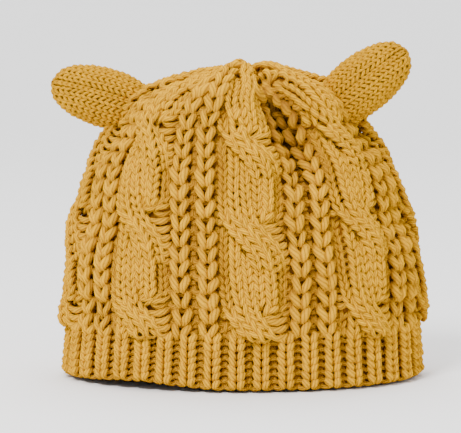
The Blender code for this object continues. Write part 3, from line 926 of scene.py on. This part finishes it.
def ear_form(row):
    """The surface that an ear's stitches lie on, placed where the ear is sewn on."""
    _, foot_x, foot_y, foot_z, lean, forward, twist = row
    along, wide, thick = np.array(EAR_SECTIONS).T
    shares = np.linspace(0.0, 1.0, EAR_FORM_ROWS)
    half_width = curve_through(along, wide, shares) * EAR_WIDTH / 2 - EAR_SKIN
    half_thickness = curve_through(along, thick, shares) * EAR_THICKNESS / 2 - EAR_SKIN
    half_width = np.maximum(half_width, EAR_LEAST)
    half_thickness = np.maximum(half_thickness, EAR_LEAST)
    level = -EAR_ROOT + shares * (EAR_LENGTH + EAR_ROOT - EAR_SKIN)
    turns = np.arange(EAR_POINTS) / EAR_POINTS
    angles = turns * 2 * math.pi
    places = np.stack(
        [
            half_width[:, None] * np.cos(angles),
            half_thickness[:, None] * np.sin(angles),
            np.broadcast_to(level[:, None], (EAR_FORM_ROWS, EAR_POINTS)),
        ],
        axis=-1,
    )
    steps = np.linalg.norm(np.diff(places[:, 0], axis=0), axis=1)
    run = np.concatenate([[0.0], np.cumsum(steps)])
    even = np.linspace(0.0, run[-1], EAR_ROWS)
    columns = [[np.interp(even, run, places[:, k, i]) for i in range(3)] for k in range(EAR_POINTS)]
    places = np.stack(columns, axis=1).transpose(2, 1, 0)
    turned = Euler((math.radians(forward), math.radians(lean), 0.0)).to_matrix()
    turned = turned @ Euler((0.0, 0.0, math.radians(twist))).to_matrix()
    foot = HAT_MIDDLE + Vector((foot_x * HAT_WIDTH / 2, foot_y * HAT_DEPTH / 2, foot_z * HAT_HEIGHT))
    form = Lattice(places @ np.array(turned).T + np.array(foot), even)
    from_seam = (turns - EAR_SEAM) * form.around(form.length / 2)
    drawn_in = SEAM_DEPTH * bell(from_seam / SEAM_REACH)
    form.press(np.broadcast_to(drawn_in, form.places.shape[:2]))
    return form


EAR_LOOP = {"swing": 1.2 * MM, "spread": 0.05 * MM, "reach": 2.35 * MM, "depth": 0.95 * MM}
EAR_WAIST = 0.5
EAR_BELLY = 0.92
EAR_BELLY_LEAST = 0.6  # share of the belly that is left where the stitches are narrowest
EAR_UNEVEN = {"drift": 0.1 * MM, "lift": 0.08 * MM, "lean": 0.06, "belly": 0.05}


def ear_courses(form):
    """An ear's courses from its foot to its tip, with fewer stitches as it narrows."""
    lines = []
    run = EAR_FIRST_RUN
    while run < form.length - EAR_LAST_GAP:
        around = form.around(run)
        count = int(min(EAR_WALES, max(EAR_FEWEST, round(around / EAR_STITCH))))
        width = 1.0 / count
        fit = min(1.0, around / count / EAR_FULL_STITCH)
        order = np.arange(count)
        from_seam = np.minimum(order, count - 1 - order)
        side = np.where(order < count / 2, 1.0, -1.0)
        seam_lean = np.where(from_seam < 2, SEAM_LEAN, 0.0) * side
        belly = EAR_BELLY * (EAR_BELLY_LEAST + (1 - EAR_BELLY_LEAST) * fit)
        stitches = {
            "centre": EAR_SEAM + (order + 0.5) * width,
            "width": np.full(count, width),
            "drift": chance.normal(0, EAR_UNEVEN["drift"], count),
            "lift": np.where(from_seam == 0, SEAM_LIFT, 0.0) + chance.normal(0, EAR_UNEVEN["lift"], count),
            "lean": chance.normal(0, EAR_UNEVEN["lean"], count) + seam_lean,
            "swing": np.full(count, EAR_LOOP["swing"] * fit),
            "spread": np.full(count, EAR_LOOP["spread"] * fit),
            "reach": np.full(count, EAR_LOOP["reach"]),
            "depth": np.full(count, EAR_LOOP["depth"]),
            "waist": np.full(count, EAR_WAIST),
            "belly": belly * chance.normal(1, EAR_UNEVEN["belly"], count),
            "teardrop": np.full(count, TEARDROP),
            "shade": chance.uniform(0, 1, count),
        }
        lines.append(knit_course(form, run, stitches))
        run += EAR_STEP
    return lines


STUFFING_LIFT = -1.7 * MM


def stuffing_lift(run, turns):
    """How far the stuffing's skin stands out, which is under the loops all over."""
    return np.full(len(turns), STUFFING_LIFT)


for row in EARS:
    name = row[0]
    form = ear_form(row)
    yarn = spin_yarn(name + "_yarn", ear_courses(form), YARN, sides=7, wool=mustard)
    stuffing_runs = np.linspace(EAR_FIRST_RUN, form.length, 30)
    sheet, rings = backing(form, stuffing_runs, stuffing_lift, columns=48)
    for ring in (rings[0], rings[-1]):
        sheet.faces.new(ring)
    bmesh.ops.recalc_face_normals(sheet, faces=sheet.faces)
    # the stuffing's skin takes the dark inner wool, painted shade where it shows between the loops
    stuffing = finish_sheet(name + "_stuffing", sheet)
    for piece in (yarn, stuffing):
        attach(piece, "root")
        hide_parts(name)

# The floor, the light and the camera
# A plain white sweep under soft studio light, seen from the front and a little above.

SWEEP_WIDTH = 5.0
SWEEP_FRONT = -3.0
SWEEP_BACK = 1.2
SWEEP_BEND = 1.2
SWEEP_TOP = 3.2
SWEEP_STEPS = 12
sweep_line = [(SWEEP_FRONT, 0.0), (SWEEP_BACK, 0.0)]
for step in range(1, SWEEP_STEPS + 1):
    turned = math.radians(step * 90 / SWEEP_STEPS)
    bend = (SWEEP_BACK + SWEEP_BEND * math.sin(turned), SWEEP_BEND * (1 - math.cos(turned)))
    sweep_line.append(bend)
sweep_line.append((SWEEP_BACK + SWEEP_BEND, SWEEP_TOP))
corners = [(side * SWEEP_WIDTH / 2, y, z) for y, z in sweep_line for side in (-1, 1)]
strips = [(2 * i, 2 * i + 1, 2 * i + 3, 2 * i + 2) for i in range(len(sweep_line) - 1)]
floor_mesh = bpy.data.meshes.new("floor")
floor_mesh.from_pydata(corners, [], strips)
floor_mesh.shade_smooth()
floor = bpy.data.objects.new("floor", floor_mesh)
bpy.context.scene.collection.objects.link(floor)
paper = bpy.data.materials.new("white_paper")
paper.use_nodes = True
paper_shader = paper.node_tree.nodes["Principled BSDF"]
paper_shader.inputs["Base Color"].default_value = (0.93, 0.93, 0.93, 1.0)
paper_shader.inputs["Roughness"].default_value = 0.9
floor_mesh.materials.append(paper)

world = bpy.data.worlds.new("studio")
bpy.context.scene.world = world
world.use_nodes = True
sky = world.node_tree.nodes["Background"]
sky.inputs["Color"].default_value = (1.0, 1.0, 1.0, 1.0)
sky.inputs["Strength"].default_value = 0.8

PIXEL = 0.5 * MM  # of the photo, on the hat
VIEW_WIDTH = 461
VIEW_MIDDLE = HAT_MIDDLE + Vector((-14 * PIXEL, 0.0, 160 * PIXEL))
VIEW_RISE = math.radians(6.6)
VIEW_DISTANCE = 1.5

LIGHTS = (
    # name, place and size in metres, power in watts
    ("key", (-0.7, -1.25, 1.5), 0.6, 50.0),
    ("fill", (1.3, -1.1, 0.9), 1.2, 5.0),
    ("top", (0.0, 0.5, 2.4), 2.0, 66.0),
)
for name, place, size, power in LIGHTS:
    lamp = bpy.data.lights.new(name, "AREA")
    lamp.size = size
    lamp.energy = power
    lamp_object = bpy.data.objects.new(name, lamp)
    lamp_object.location = place
    lamp_object.rotation_euler = (VIEW_MIDDLE - Vector(place)).to_track_quat("-Z", "Y").to_euler()
    bpy.context.scene.collection.objects.link(lamp_object)

camera_data = bpy.data.cameras.new("camera")
camera_data.sensor_width = 36.0
camera_data.lens = camera_data.sensor_width * VIEW_DISTANCE / (VIEW_WIDTH * PIXEL)
camera = bpy.data.objects.new("camera", camera_data)
back = Vector((0.0, -math.cos(VIEW_RISE), math.sin(VIEW_RISE)))
camera.location = VIEW_MIDDLE + back * VIEW_DISTANCE
camera.rotation_euler = back.to_track_quat("Z", "Y").to_euler()
bpy.context.scene.collection.objects.link(camera)
bpy.context.scene.camera = camera
